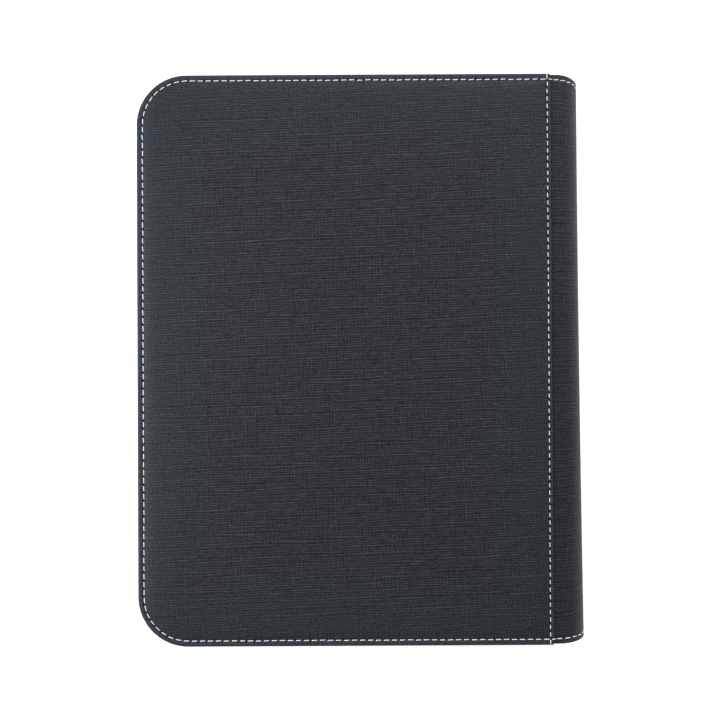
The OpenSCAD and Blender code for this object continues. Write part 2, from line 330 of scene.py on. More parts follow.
# threads each way: the axis they repeat on, their size, the size of their breaks, and their strength
LINEN = (("Y", (70 * MM, WEFT * WAVE_BAND, 1), (6 * MM, 0.75 * MM, 1), 1.0),
         ("X", (WARP * WAVE_BAND, 45 * MM, 1), (0.9 * MM, 4.5 * MM, 1), 0.65))
leather_finish, tree = new_finish("embossed polyurethane leather")
grain = add(tree, "Attribute", attribute_name="grain").outputs["Vector"]
tilted = add(tree, "Mapping", {"Vector": grain, "Rotation": (0, 0, math.radians(2))}, vector_type="TEXTURE")
threads = []
for direction, run, broken, share in LINEN:
    at = add(tree, "Mapping", {"Vector": tilted.outputs[0], "Scale": run}, vector_type="TEXTURE")
    wave = add(tree, "TexWave", {"Vector": at.outputs[0], "Scale": 1, "Distortion": 6, "Detail": 1,
                                 "Detail Scale": 1.2}, bands_direction=direction)
    thin = add(tree, "Math", {0: wave.outputs["Fac"], 1: 2.2}, operation="POWER")
    at = add(tree, "Mapping", {"Vector": tilted.outputs[0], "Scale": broken}, vector_type="TEXTURE")
    gaps = add(tree, "TexNoise", {"Vector": at.outputs[0], "Scale": 1, "Detail": 1}, noise_dimensions="2D")
    force = add(tree, "MapRange", {"Value": gaps.outputs["Fac"], "From Min": 0.3, "From Max": 0.7,
                                   "To Min": 0.3 * share, "To Max": share})
    thread = add(tree, "Math", {0: thin.outputs[0], 1: force.outputs[0]}, operation="MULTIPLY")
    threads.append(thread.outputs[0])
crossed = add(tree, "Mix", {0: 1.0, 6: threads[0], 7: threads[1]}, data_type="RGBA", blend_type="SCREEN")
pores = add(tree, "TexNoise", {"Vector": grain, "Scale": 1 / (0.8 * MM), "Detail": 1}, noise_dimensions="2D")
pitted = add(tree, "MapRange", {"Value": pores.outputs["Fac"], "To Min": -0.5, "To Max": 0.5})
inside = add(tree, "Attribute", attribute_name="emboss").outputs["Fac"]
force = add(tree, "MapRange", {"Value": inside, "To Min": 0.28, "To Max": 1.05})
pressed = add(tree, "Mix", {0: force.outputs[0], 2: 0.31, 3: crossed.outputs[2]})
linen = add(tree, "Math", {0: pressed.outputs[0], 1: pitted.outputs[0]}, operation="ADD")
patches = add(tree, "TexNoise", {"Vector": grain, "Scale": 1 / (60 * MM), "Detail": 2})
# painted sheen: the pale tone is bluer towards the edges, where the emboss fades
pale = add(tree, "Mix", {0: inside, 6: linear("#4A525C"), 7: linear("#47474D")}, data_type="RGBA")
tone = add(tree, "Mix", {0: linen.outputs[0], 6: linear("#0C0D10"), 7: pale.outputs[2]}, data_type="RGBA")
mottle = add(tree, "MapRange", {"Value": patches.outputs["Fac"], "To Min": 0.92, "To Max": 1.08})
# painted highlight: the rim outside each row of stitches is made paler
rim_highlight = add(tree, "Attribute", attribute_name="rim")
lift = add(tree, "MapRange", {"Value": rim_highlight.outputs["Fac"], "To Min": 1.0, "To Max": 1.35})
# painted shade: darkens the needle holes, the grooves of the rows, the valley beside the fold and the whole
# spine strip
painted_shade = add(tree, "Attribute", attribute_name="painted_shade")
shade = add(tree, "MapRange", {"Value": painted_shade.outputs["Fac"], "To Min": 1.0, "To Max": 0.04})
level = add(tree, "Math", {0: mottle.outputs[0], 1: lift.outputs[0]}, operation="MULTIPLY")
level = add(tree, "Math", {0: level.outputs[0], 1: shade.outputs[0]}, operation="MULTIPLY")
colour = add(tree, "VectorMath", {0: tone.outputs[2], "Scale": level.outputs[0]}, operation="SCALE")
gloss = add(tree, "MapRange", {"Value": linen.outputs[0], "To Min": 0.6, "To Max": 0.45})
emboss = add(tree, "Bump", {"Height": linen.outputs[0], "Strength": 0.7, "Distance": 0.1 * MM})
shader = add(tree, "BsdfPrincipled", {
    "Base Color": colour.outputs[0], "Roughness": gloss.outputs[0], "Specular IOR Level": 0.2,
    "Normal": emboss.outputs[0]})
add(tree, "OutputMaterial", {"Surface": shader.outputs[0]})

# the panel is a coarse grid inside, and rings of small faces that get narrower towards its edges
GRID = 8 * MM
COLUMN = 0.65 * MM
RING = 0.3 * MM
RINGS = [RING * 1.3 ** k for k in range(10, 0, -1)] + [RING] * 14 + [0.25 * MM, 0.15 * MM, 0.1 * MM]
WELD = 1e-6
PANEL_R = CORNER_R - LEATHER_IN
board_low, board_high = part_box("rear_cover_board")


def drawn(bm, chain, step):
    """Pulls a chain of edges along by a step, leaving faces behind, and gives back the moved chain."""
    made = bmesh.ops.extrude_edge_only(bm, edges=chain)["geom"]
    verts = set(new_of(made, bmesh.types.BMVert))
    bmesh.ops.translate(bm, vec=step, verts=list(verts))
    return [e for e in new_of(made, bmesh.types.BMEdge) if verts.issuperset(e.verts)]


def reach(chain, old, new):
    """Moves the points of one outline to the next; each is given as its inset and its right end."""
    high = (skin_high.y - new[0]) / (skin_high.y - old[0])
    wide = (new[1] - ARC_X) / (old[1] - ARC_X)
    turn = (PANEL_R - new[0]) / (PANEL_R - old[0])
    for v in {v for e in chain for v in e.verts}:
        if v.co.x >= ARC_X:
            v.co.x, v.co.y = ARC_X + (v.co.x - ARC_X) * wide, v.co.y * high
        elif abs(v.co.y) > ARC_Y:
            centre = Vector((ARC_X, math.copysign(ARC_Y, v.co.y), v.co.z))
            v.co = centre + (v.co - centre) * turn
        else:
            v.co.x += new[0] - old[0]


def leather_layers(bm):
    """What the leather reads at a point: its place in the grain, its painted shade in holes and grooves, its
    painted rim highlight and its emboss share.
    """
    grain_at = bm.verts.layers.float_vector.new("grain")
    return [grain_at] + [bm.verts.layers.float.new(name) for name in ("painted_shade", "rim", "emboss")]


def cover_panel():
    """The leather panel of the rear cover, with the space for foam and board under it."""
    bm = bmesh.new()
    grain_at, painted_shade_at, rim_at, emboss_at = leather_layers(bm)
    inset = sum(RINGS)
    left, right, half = skin_low.x + inset, FOLD_X - inset, skin_high.y - inset
    cover_outline(bm, left, right, half, PANEL_R - inset, RIM_Z, round(PANEL_R * math.pi / 2 / COLUMN))
    for edge in [e for e in bm.edges if e.calc_length() > 2 * COLUMN]:
        bmesh.ops.subdivide_edges(bm, edges=[edge], cuts=round(edge.calc_length() / COLUMN) - 1)
    for no, low, high in (((1, 0, 0), left, right), ((0, 1, 0), -half, half)):
        cuts = round((high - low) / GRID)
        for k in range(1, cuts):
            bmesh.ops.bisect_plane(bm, geom=bm.verts[:] + bm.edges[:] + bm.faces[:], dist=WELD,
                                   plane_co=Vector(no) * (low + (high - low) * k / cuts), plane_no=no)
    chain = [e for e in bm.edges if e.is_boundary]
    for step in RINGS:
        chain = drawn(bm, chain, (0, 0, 0))
        reach(chain, (inset, FOLD_X - inset), (inset - step, FOLD_X - inset + step))
        inset -= step
    for v in bm.verts:
        v.co.z, hole, sunk, rim = panel_height(v.co.x, v.co.y)
        # painted shade in the needle holes and in the grooves of the rows
        v[painted_shade_at] = max(hole, ROW_SHADE * sunk)
        # painted highlight on the rim outside the rows
        v[rim_at] = rim
        v[emboss_at] = embossed(v.co.x, v.co.y)
    chain = drawn(bm, chain, (0, 0, 0))
    for v in {v for e in chain for v in e.verts}:
        v.co.z = skin_low.z
    hollow = board_low.x - skin_low.x - CLEARANCE, board_high.x + CLEARANCE
    chain = drawn(bm, chain, (0, 0, 0))
    reach(chain, (0, FOLD_X), hollow)
    chain = drawn(bm, chain, (0, 0, foam_high.z - FOAM_EDGE - skin_low.z))
    for k in range(FOAM_STEPS):
        turns = [math.pi / 2 * (k + n) / FOAM_STEPS for n in (0, 1)]
        rise, shift = [FOAM_EDGE * (trig(turns[1]) - trig(turns[0])) for trig in (math.sin, math.cos)]
        chain = drawn(bm, chain, (0, 0, rise))
        reach(chain, hollow, (hollow[0] - shift, hollow[1] + shift))
        hollow = hollow[0] - shift, hollow[1] + shift
    bmesh.ops.holes_fill(bm, edges=chain)
    bmesh.ops.recalc_face_normals(bm, faces=bm.faces)
    for v in bm.verts:
        drop = max(RIM_Z - v.co.z, 0)
        v[grain_at] = Vector((v.co.x, v.co.y, 0)) + outward(v.co.x, v.co.y) * drop
    return bm


for cover in COVERS:
    bm = cover_panel()
    if cover == "front":
        to_front(bm)
    skin = make(f"{cover}_cover_panel", bm, [leather_finish])
    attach(skin, f"{cover}_cover")
    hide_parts(f"{cover}_cover_leather")


# Cover linings: a sheet of black polyester twill inside each cover, cut just inside the zip tape.
# It is glued flat to the board and closes the inside of the cover.
LINING_EDGE = 0.15 * MM
RIB = 0.9 * MM
lining_low, lining_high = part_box("rear_cover_lining")

# polyester twill: near black, with fine slanting ribs that catch a little light
twill_finish, tree = new_finish("black polyester twill")
place = add(tree, "TexCoord").outputs["Object"]
slope = add(tree, "Mapping", {"Vector": place, "Rotation": (0, 0, math.radians(60))})
ribs = add(tree, "TexWave", {"Vector": slope.outputs[0], "Scale": 1 / (RIB * WAVE_BAND), "Distortion": 0.6,
                             "Detail": 2, "Detail Scale": 2}, bands_direction="X")
fuzz = add(tree, "TexNoise", {"Vector": place, "Scale": 1 / (0.4 * MM), "Detail": 3})
weave = add(tree, "Math", {0: fuzz.outputs["Fac"], 1: 0.4, 2: ribs.outputs["Fac"]},
            operation="MULTIPLY_ADD")
black = add(tree, "Mix", {0: weave.outputs[0], 6: linear("#131417"), 7: linear("#2C2E33")},
            data_type="RGBA")
cloth = add(tree, "Bump", {"Height": weave.outputs[0], "Strength": 0.7, "Distance": 0.08 * MM})
shader = add(tree, "BsdfPrincipled", {
    "Base Color": black.outputs[2], "Roughness": 0.8, "Sheen Weight": 0.25, "Sheen Roughness": 0.4,
    "Normal": cloth.outputs[0]})
add(tree, "OutputMaterial", {"Surface": shader.outputs[0]})

for cover in COVERS:
    bm = bmesh.new()
    radius = CORNER_R - (lining_low.x - FORE_X)
    sole = cover_outline(bm, lining_low.x, lining_high.x, lining_high.y, radius, lining_low.z)
    raised(bm, sole, lining_high.z - lining_low.z - CLEARANCE)
    edges = [e for e in bm.edges if any(len(f.verts) > 4 for f in e.link_faces)]
    bmesh.ops.bevel(bm, geom=edges, offset=LINING_EDGE, offset_type="OFFSET", segments=2,
                    profile=0.5, affect="EDGES", material=-1)
    bmesh.ops.recalc_face_normals(bm, faces=bm.faces)
    if cover == "front":
        to_front(bm)
    cloth_sheet = make(f"{cover}_lining_cloth", bm, [twill_finish])
    width, length = lining_high.x - lining_low.x, lining_high.y - lining_low.y
    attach(cloth_sheet, f"{cover}_cover")
    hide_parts(f"{cover}_cover_lining")


# Zip tapes: a woven polyester tape sewn under the edge of each cover. It is turned through a right
# angle just inside the stitching, and hangs down as the side of the closed binder.
TAPE_T = 0.6 * MM
TAPE_BEND = 1.0 * MM
WALL_IN = 5.5 * MM
TAPE_OVER = 2 * MM
THREAD = 0.55 * MM
CHEVRON = 2.2 * MM
coil_low, coil_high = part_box("rear_zip_coil")
COIL_Z = (coil_low.z + coil_high.z) / 2
TAPE_END_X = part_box("rear_zip_stops")[1].x + TAPE_OVER


def line_to(bm, vert, step, cuts=1):
    """Pulls a line of edges out of a vertex and gives back the vertex at its end."""
    for k in range(cuts):
        vert = bmesh.ops.extrude_vert_indiv(bm, verts=[vert])["verts"][0]
        bmesh.ops.translate(bm, vec=Vector(step) / cuts, verts=[vert])
    return vert


def round_edges(bm, chain, end_x):
    """Sweeps a chain, which starts at end_x on the head edge, round the three open edges."""
    chain = drawn(bm, chain, (ARC_X - end_x, 0, 0))
    for corner in (1, -1):
        turned = bmesh.ops.spin(bm, geom=chain, cent=(ARC_X, corner * ARC_Y, 0), axis=(0, 0, 1),
                                angle=math.pi / 2, steps=ARC_STEPS, dvec=(0, 0, 0), use_duplicate=False)
        chain = new_of(turned["geom_last"], bmesh.types.BMEdge)
        step = (0, -2 * ARC_Y, 0) if corner > 0 else (end_x - ARC_X, 0, 0)
        chain = drawn(bm, chain, step)


def run_of(x, y):
    """Distance of a point along the three open edges, from the middle of the fore edge."""
    if abs(y) < ARC_Y:
        return y
    turn = math.atan2(abs(y) - ARC_Y, max(ARC_X - x, 0))
    along = ARC_Y + turn * (CORNER_R - WALL_IN) + max(x - ARC_X, 0)
    return math.copysign(along, y)


def thickened(bm, up, thickness):
    """Faces a sheet up or down, gives it its thickness, and gives back the area of one side."""
    bmesh.ops.recalc_face_normals(bm, faces=bm.faces)
    topmost = max(bm.faces, key=lambda f: f.calc_center_median().z)
    if (topmost.normal.z > 0) != up:
        bmesh.ops.reverse_faces(bm, faces=bm.faces)
    area = sum(f.calc_area() for f in bm.faces)
    bmesh.ops.solidify(bm, geom=bm.faces, thickness=thickness)
    bmesh.ops.recalc_face_normals(bm, faces=bm.faces)
    return area


# woven polyester tape: charcoal black, a herringbone of fine ribs that run along it, slightly fuzzy
tape_finish, tree = new_finish("woven polyester zip tape")
lay = add(tree, "Attribute", attribute_name="lay").outputs["Vector"]
across = add(tree, "SeparateXYZ", {"Vector": lay})
zigzag = add(tree, "Math", {0: across.outputs["Y"], 1: CHEVRON}, operation="PINGPONG")
shifted = add(tree, "Math", {0: across.outputs["X"], 1: zigzag.outputs[0]}, operation="ADD")
ribs = add(tree, "Math", {0: shifted.outputs[0], 1: math.pi / THREAD}, operation="MULTIPLY")
ribs = add(tree, "Math", {0: ribs.outputs[0]}, operation="SINE")
fuzz = add(tree, "TexNoise", {"Vector": lay, "Scale": 1 / (0.35 * MM), "Detail": 3})
weave = add(tree, "Math", {0: ribs.outputs[0], 1: 0.35, 2: fuzz.outputs["Fac"]},
            operation="MULTIPLY_ADD")
black = add(tree, "Mix", {0: weave.outputs[0], 6: linear("#101114"), 7: linear("#2B2D32")},
            data_type="RGBA")
cloth = add(tree, "Bump", {"Height": weave.outputs[0], "Strength": 0.8, "Distance": 0.1 * MM})
shader = add(tree, "BsdfPrincipled", {
    "Base Color": black.outputs[2], "Roughness": 0.78, "Sheen Weight": 0.2, "Sheen Roughness": 0.4,
    "Normal": cloth.outputs[0]})
add(tree, "OutputMaterial", {"Surface": shader.outputs[0]})

for cover in COVERS:
    bm = bmesh.new()
    lay_at = bm.verts.layers.float_vector.new("lay")
    wall_y = HEAD_Y - WALL_IN - TAPE_T / 2
    last = bm.verts.new((TAPE_END_X, HEAD_Y, tape_high.z))
    last = line_to(bm, last, (0, wall_y + TAPE_BEND - HEAD_Y, 0), 3)
    turned = bmesh.ops.spin(bm, geom=[last], cent=(TAPE_END_X, wall_y + TAPE_BEND, tape_high.z - TAPE_BEND),
                            axis=(1, 0, 0), angle=math.pi / 2, steps=5, dvec=(0, 0, 0), use_duplicate=False)
    last = new_of(turned["geom_last"], bmesh.types.BMVert)[0]
    line_to(bm, last, (0, 0, COIL_Z - tape_high.z + TAPE_BEND), 6)
    round_edges(bm, bm.edges[:], TAPE_END_X)
    bmesh.ops.remove_doubles(bm, verts=bm.verts, dist=WELD)
    tape_area = thickened(bm, False, -TAPE_T)
    for v in bm.verts:
        depth = edge_distance(v.co.x, v.co.y) + tape_high.z - v.co.z
        v[lay_at] = (run_of(v.co.x, v.co.y), depth, 0)
    if cover == "front":
        to_front(bm)
    tape = make(f"{cover}_tape_cloth", bm, [tape_finish])
    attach(tape, f"{cover}_cover")
    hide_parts(f"{cover}_zip_tape")


# Zip coils: one nylon filament a tape, wound into a flat spring round the hanging edge of the tape.
# The turns of the two tapes face each other across the undone zip.
TURN = 1.27 * MM
TURN_POINTS = 8
WIRE_R = 0.3 * MM
COIL_W = 2.2 * MM
SLIDER_GAP = 1 * MM

# nylon filament: black and smooth, with a soft gloss along each turn
nylon_finish, tree = new_finish("black nylon filament")
place = add(tree, "TexCoord").outputs["Object"]
streak = add(tree, "TexNoise", {"Vector": place, "Scale": 1 / (0.8 * MM), "Detail": 2})
black = add(tree, "Mix", {0: streak.outputs["Fac"], 6: linear("#0E0F11"), 7: linear("#26282C")},
            data_type="RGBA")
gloss = add(tree, "MapRange", {"Value": streak.outputs["Fac"], "To Min": 0.28, "To Max": 0.48})
shader = add(tree, "BsdfPrincipled", {
    "Base Color": black.outputs[2], "Roughness": gloss.outputs[0], "IOR": 1.53})
add(tree, "OutputMaterial", {"Surface": shader.outputs[0]})

COIL_END_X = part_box("rear_zip_stops")[0].x
coil_stops = {"rear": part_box("zip_slider")[0].x - SLIDER_GAP, "front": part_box("front_zip_stops")[0].x}
for cover, stop_x in coil_stops.items():
    length = edge_length(WALL_IN, COIL_END_X) - (COIL_END_X - stop_x)
    turns = int(length / TURN)
    wire = bpy.data.curves.new(f"{cover}_coil_wire", "CURVE")
    wire.dimensions = "3D"
    wire.bevel_depth, wire.bevel_resolution, wire.use_fill_caps = WIRE_R, 1, True
    spline = wire.splines.new("POLY")
    spline.points.add(turns * TURN_POINTS)
    for k in range(turns * TURN_POINTS + 1):
        spot, turn = edge_place(length * k / (turns * TURN_POINTS), WALL_IN, COIL_END_X)
        a = 2 * math.pi * k / TURN_POINTS
        out = Vector((-math.sin(turn), math.cos(turn), 0)) * math.cos(a) * (COIL_W / 2 - WIRE_R)
        z = COIL_Z + math.sin(a) * ((coil_high.z - coil_low.z) / 2 - WIRE_R)
        z = z if cover == "rear" else 2 * MID_Z - z
        spline.points[k].co = (spot.x + out.x, spot.y + out.y, z, 1)
    curve = bpy.data.objects.new(f"{cover}_coil_curve", wire)
    bpy.context.scene.collection.objects.link(curve)
    bpy.context.view_layer.update()
    bm = bmesh.new()
    bm.from_mesh(curve.evaluated_get(bpy.context.evaluated_depsgraph_get()).to_mesh())
    bpy.data.objects.remove(curve)
    bmesh.ops.remove_doubles(bm, verts=bm.verts, dist=WELD)
    bmesh.ops.recalc_face_normals(bm, faces=bm.faces)
    coil = make(f"{cover}_coil_winding", bm, [nylon_finish], sharp=70)
    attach(coil, f"{cover}_cover")
    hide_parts(f"{cover}_zip_coil")


# Zip slider, pull tab and end stops: cast zinc with a dark nickel finish. The slider runs on the tape
# edges, the pull swings on its pin, and the stops are clamped over the tape at the ends of the coils.
PULL_RIM = 0.9 * MM
PULL_SINK = 0.35 * MM
SHOULDER = 5.5 * MM
KNUCKLE = 0.9 * MM
LUG_R = 2.2 * MM
FLAT_AREA = (8 * MM) ** 2
EDGE_BREAK = 0.16 * MM
CORNER_ANGLE = math.radians(40)
pull_low, pull_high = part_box("zip_pull_tab")
PIN_X, PIN_Y = pull_high.x - KNUCKLE, (pull_low.y + pull_high.y) / 2

# dark nickel plating: grey metal, softly polished, with fine rubbed scratches
nickel_finish, tree = new_finish("dark nickel plated zinc")
place = add(tree, "TexCoord").outputs["Object"]
scratch_at = add(tree, "Mapping", {"Vector": place, "Scale": (6 * MM, 0.25 * MM, 0.25 * MM)},
                 vector_type="TEXTURE")
scratch = add(tree, "TexNoise", {"Vector": scratch_at.outputs[0], "Scale": 1, "Detail": 3})
tarnish = add(tree, "TexNoise", {"Vector": place, "Scale": 1 / (3 * MM), "Detail": 3})
metal = add(tree, "Mix", {0: tarnish.outputs["Fac"], 6: linear("#5A5C60"), 7: linear("#8C8E92")},
            data_type="RGBA")
gloss = add(tree, "MapRange", {"Value": scratch.outputs["Fac"], "To Min": 0.2, "To Max": 0.42})
rubbed = add(tree, "Bump", {"Height": scratch.outputs["Fac"], "Strength": 0.3, "Distance": 0.02 * MM})
shader = add(tree, "BsdfPrincipled", {
    "Base Color": metal.outputs[2], "Metallic": 1.0, "Roughness": gloss.outputs[0],
    "Normal": rubbed.outputs[0]})
add(tree, "OutputMaterial", {"Surface": shader.outputs[0]})


def cast_copy(node):
    """A copy of a solid with its triangles merged into whole faces."""
    bm = bmesh.new()
    bm.from_mesh(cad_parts[node].data)
    bmesh.ops.remove_doubles(bm, verts=bm.verts, dist=WELD)
    bmesh.ops.dissolve_limit(bm, angle_limit=math.radians(1), verts=bm.verts, edges=bm.edges)
    return bm


castings = (("zip_slider", "slider_body", "zip_slider"), ("zip_pull_tab", "slider_pull", "zip_pull"),
            ("front_zip_stops", "front_tape_stops", "front_cover"),
            ("rear_zip_stops", "rear_tape_stops", "rear_cover"))
for node, name, body in castings:
    bm = cast_copy(node)
    if node == "zip_pull_tab":
        bmesh.ops.bisect_plane(bm, geom=bm.verts[:] + bm.edges[:] + bm.faces[:], dist=WELD,
                               plane_co=(PIN_X - SHOULDER, 0, 0), plane_no=(1, 0, 0))
        flats = [f for f in bm.faces if abs(f.normal.y) > 0.99 and f.calc_area() > FLAT_AREA]
        bmesh.ops.inset_individual(bm, faces=flats, thickness=PULL_RIM, use_even_offset=True)
        bmesh.ops.inset_individual(bm, faces=flats, thickness=PULL_SINK, depth=-PULL_SINK,
                                   use_even_offset=True)
    clear = {v for v in bm.verts if math.hypot(v.co.x - PIN_X, v.co.y - PIN_Y) > LUG_R}
    edges = [e for e in bm.edges if e.is_manifold and e.calc_face_angle() > CORNER_ANGLE
             and clear.issuperset(e.verts)]
    bmesh.ops.bevel(bm, geom=edges, offset=EDGE_BREAK, offset_type="OFFSET", segments=1, profile=0.5,
                    affect="EDGES", clamp_overlap=True, material=-1)
    bmesh.ops.recalc_face_normals(bm, faces=bm.faces)
    casting = make(name, bm, [nickel_finish], sharp=30)
    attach(casting, body)
    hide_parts(node)


# Spine leather: a strip of the same leather that rounds the back and is lapped under both folded edges.
# It is drawn as two halves that meet at the back.
spine_low, spine_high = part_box("spine_leather")
SPINE_R = (spine_high.z - spine_low.z) / 2
SPINE_X = spine_high.x - SPINE_R
SPINE_T = 0.9 * MM
HEM_Y = HEAD_Y - EDGE_ROW_IN
HEM_STITCHES = 6
HEM_CLEAR = 1.3 * MM
HEAD_PULL, TAIL_PULL = 2.6 * MM, 1.3 * MM
BULGE = -0.8 * MM, 0.45 * MM, 2.1 * MM
# the valley beside the fold is a real dip, and VALLEY_SHADE also darkens it as painted shade
VALLEY, VALLEY_W, VALLEY_SHADE = 0.5 * MM, 0.9 * MM, 0.4
# STRIP_SHADE is painted shade over the whole spine strip, which curves away from the lamps
STRIP_SHADE = 0.12
STRIP_EMBOSS = 0.7
SPINE_STEPS = 48
LAP_END_X = TAPE_END_X + CLEARANCE
spine_cloth_low, spine_cloth_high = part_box("spine_lining")
LAP_Y = spine_cloth_high.y
HEM_STEPS = [0.1 * MM, 0.15 * MM, 0.25 * MM] + [0.4 * MM] * 8 + [0.6 * MM, 1.0 * MM]
HALVES = (("rear", "upper"), ("front", "lower"))


def bulge(y):
    """How far the back of the spine stands out of true: flat at the head, full at the tail."""
    t = 0.5 - y / (2 * spine_high.y)
    return BULGE[0] + BULGE[1] * t + BULGE[2] * t * t


def drawn_in(y, turn):
    """Place along the spine of a point whose end of the strip is drawn in as it rounds the back."""
    pull = HEAD_PULL if y > 0 else TAIL_PULL
    return y - pull * math.sin(turn) ** 2 * (y / spine_high.y) ** 3


def round_turn(x, z):
    """Angle round the spine from its upper tangent, and 0 on the flat lap."""
    return math.atan2(x - SPINE_X, z - MID_Z) if x > SPINE_X else 0.0


def half_round(bm, radius, flats, stations):
    """The upper half of a strip round the spine: flat steps from the lap, then a quarter round, along Y."""
    last = bm.verts.new((SPINE_X - sum(flats), stations[0], MID_Z + radius))
    for flat in flats:
        last = line_to(bm, last, (flat, 0, 0))
    bmesh.ops.spin(bm, geom=[last], cent=(SPINE_X, stations[0], MID_Z), axis=(0, 1, 0), angle=math.pi / 2,
                   steps=SPINE_STEPS, dvec=(0, 0, 0), use_duplicate=False)
    bmesh.ops.remove_doubles(bm, verts=bm.verts, dist=WELD)
    chain = bm.edges[:]
    for here, there in zip(stations, stations[1:]):
        chain = drawn(bm, chain, (0, there - here, 0))


def stations_along(half, close, lap):
    """Places along Y from end to end: close together at the hems, then about one grid step apart."""
    near = [half]
    for step in close:
        near.append(near[-1] - step)
    near = sorted(near + [lap], reverse=True)
    count = round(2 * near[-1] / GRID)
    inside = [near[-1] * (1 - 2 * k / count) for k in range(1, count)]
    return [-y for y in near] + inside[::-1] + near[::-1]


FOLD_ALONG = FOLD_X - SPINE_X
HEM_START = FOLD_ALONG + HEM_CLEAR
HEM_PITCH = (SPINE_R * math.pi / 2 - HEM_START) / HEM_STITCHES
HEM_HOLES = [(HEM_START + k * HEM_PITCH, side * HEM_Y)
             for side in (-1, 1) for k in range(HEM_STITCHES + 1)]


def bend(piece, cover):
    """Bakes the placement of a half of the spine into its mesh, the same for either cover."""
    if cover == "rear":
        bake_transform(piece)
    else:
        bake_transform(piece)


for cover, half in HALVES:
    bm = bmesh.new()
    grain_at, painted_shade_at, rim_at, emboss_at = leather_layers(bm)
    flats = (LAP_END_X - spine_low.x, SPINE_X - LAP_END_X)
    half_round(bm, SPINE_R, flats, stations_along(spine_high.y, HEM_STEPS, LAP_Y))
    loose = [f for f in bm.faces if f.calc_center_median().x < LAP_END_X
             and abs(f.calc_center_median().y) > LAP_Y]
    bmesh.ops.delete(bm, geom=loose, context="FACES")
    for v in bm.verts:
        turn = round_turn(v.co.x, v.co.z)
        along = turn * SPINE_R if turn else v.co.x - SPINE_X
        edge = spine_high.y - abs(v.co.y)
        out = Vector((math.sin(turn), 0, math.cos(turn)))
        hole = max(bell(math.hypot(along - a, v.co.y - y), HOLE_W) for a, y in HEM_HOLES)
        sunk = bell(abs(v.co.y) - HEM_Y, GROOVE_W)
        valley = bell(along - FOLD_ALONG - VALLEY_W, VALLEY_W)
        # painted shade in the hem's needle holes and groove, in the valley beside the fold, and a little
        # over the whole strip
        v[painted_shade_at] = max(hole, ROW_SHADE * sunk, VALLEY_SHADE * valley, STRIP_SHADE)
        # painted highlight on the rims outside the hems
        v[rim_at] = on_rim(edge - (spine_high.y - HEM_Y))
        v[emboss_at] = STRIP_EMBOSS
        v[grain_at] = (SPINE_X + along, v.co.y, 0)
        depth = fallen(edge) + GROOVE * sunk + HOLE * hole + VALLEY * valley
        v.co -= out * depth
        v.co.x += bulge(v.co.y) * math.sin(turn)
        v.co.y = drawn_in(v.co.y, turn)
    area = thickened(bm, True, SPINE_T)
    if cover == "front":
        to_front(bm)
    strip = make(f"spine_strip_{half}", bm, [leather_finish])
    bend(strip, cover)
    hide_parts("spine_leather")


# Spine lining: a strip of the same twill inside the spine, glued to the leather and to both linings.
# It is drawn in two halves like the leather.
CLOTH_T = 0.5 * MM
CLOTH_R = (spine_cloth_high.z - spine_cloth_low.z) / 2
CLOTH_STATIONS = stations_along(spine_cloth_high.y, [1 * MM], 160 * MM)
for cover, half in HALVES:
    bm = bmesh.new()
    half_round(bm, CLOTH_R, (SPINE_X - spine_cloth_low.x,), CLOTH_STATIONS)
    for v in bm.verts:
        turn = round_turn(v.co.x, v.co.z)
        v.co.x += bulge(v.co.y) * math.sin(turn)
        v.co.y = drawn_in(v.co.y, turn)
    area = thickened(bm, True, CLOTH_T)
    if cover == "front":
        to_front(bm)
    strip = make(f"spine_cloth_{half}", bm, [twill_finish])
    bend(strip, cover)
    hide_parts("spine_lining")


# Stitching: lockstitches of thick white thread round each cover, down each seam and across the spine's
# two hems. Every stitch is a short plump length that dives into a needle hole at both ends.
STITCH_H = 0.65 * MM
STITCH_SLANT = math.radians(2.5)
EDGE_STITCH, SEAM_STITCH = 3.7 * MM, 2.9 * MM
SINK = 0.12 * MM
FOLD_STITCH, FOLD_LIFT = 2.9 * MM, 0.45 * MM
TURN_ERROR, SIDE_ERROR, LENGTH_ERROR = math.radians(1.2), 0.06 * MM, 0.03
PLY, PLY_SLOPE = 0.8 * MM, 0.8

# bonded polyester thread: off-white, three plies twisted so that fine slanting lines cross each stitch
thread_finish, tree = new_finish("bonded polyester thread")
ply = add(tree, "Attribute", attribute_name="ply").outputs["Vector"]
turned = add(tree, "SeparateXYZ", {"Vector": ply})
slant = add(tree, "Math", {0: turned.outputs["Y"], 1: PLY_SLOPE, 2: turned.outputs["X"]},
            operation="MULTIPLY_ADD")
twist = add(tree, "Math", {0: slant.outputs[0], 1: 2 * math.pi / PLY}, operation="MULTIPLY")
twist = add(tree, "Math", {0: twist.outputs[0]}, operation="SINE")
lines = add(tree, "MapRange", {"Value": twist.outputs[0], "From Min": -1.0, "To Min": 0.0, "To Max": 1.0})
white = add(tree, "Mix", {0: lines.outputs[0], 6: linear("#F0F1F3"), 7: linear("#FBFBFC")},
            data_type="RGBA")
plies = add(tree, "Bump", {"Height": lines.outputs[0], "Strength": 0.6, "Distance": 0.08 * MM})
shader = add(tree, "BsdfPrincipled", {
    "Base Color": white.outputs[2], "Roughness": 0.6, "Sheen Weight": 0.2, "Normal": plies.outputs[0]})
add(tree, "OutputMaterial", {"Surface": shader.outputs[0]})

bm = bmesh.new()
ply_at = bm.verts.layers.float_vector.new("ply")
bmesh.ops.create_uvsphere(bm, u_segments=8, v_segments=6, radius=0.5,
                          matrix=Matrix.Rotation(math.pi / 2, 4, "Y"))
for v in bm.verts:
    plump = math.sqrt(1 + 4 * v.co.x * v.co.x)
    v.co = (v.co.x, v.co.y * plump * STITCH_W, v.co.z * plump * STITCH_H)
    v[ply_at] = (v.co.x * EDGE_STITCH, v.co.y, v.co.z)
one_stitch = bpy.data.meshes.new("one_stitch")
bm.to_mesh(one_stitch)
bm.free()
draw = random.Random(7)


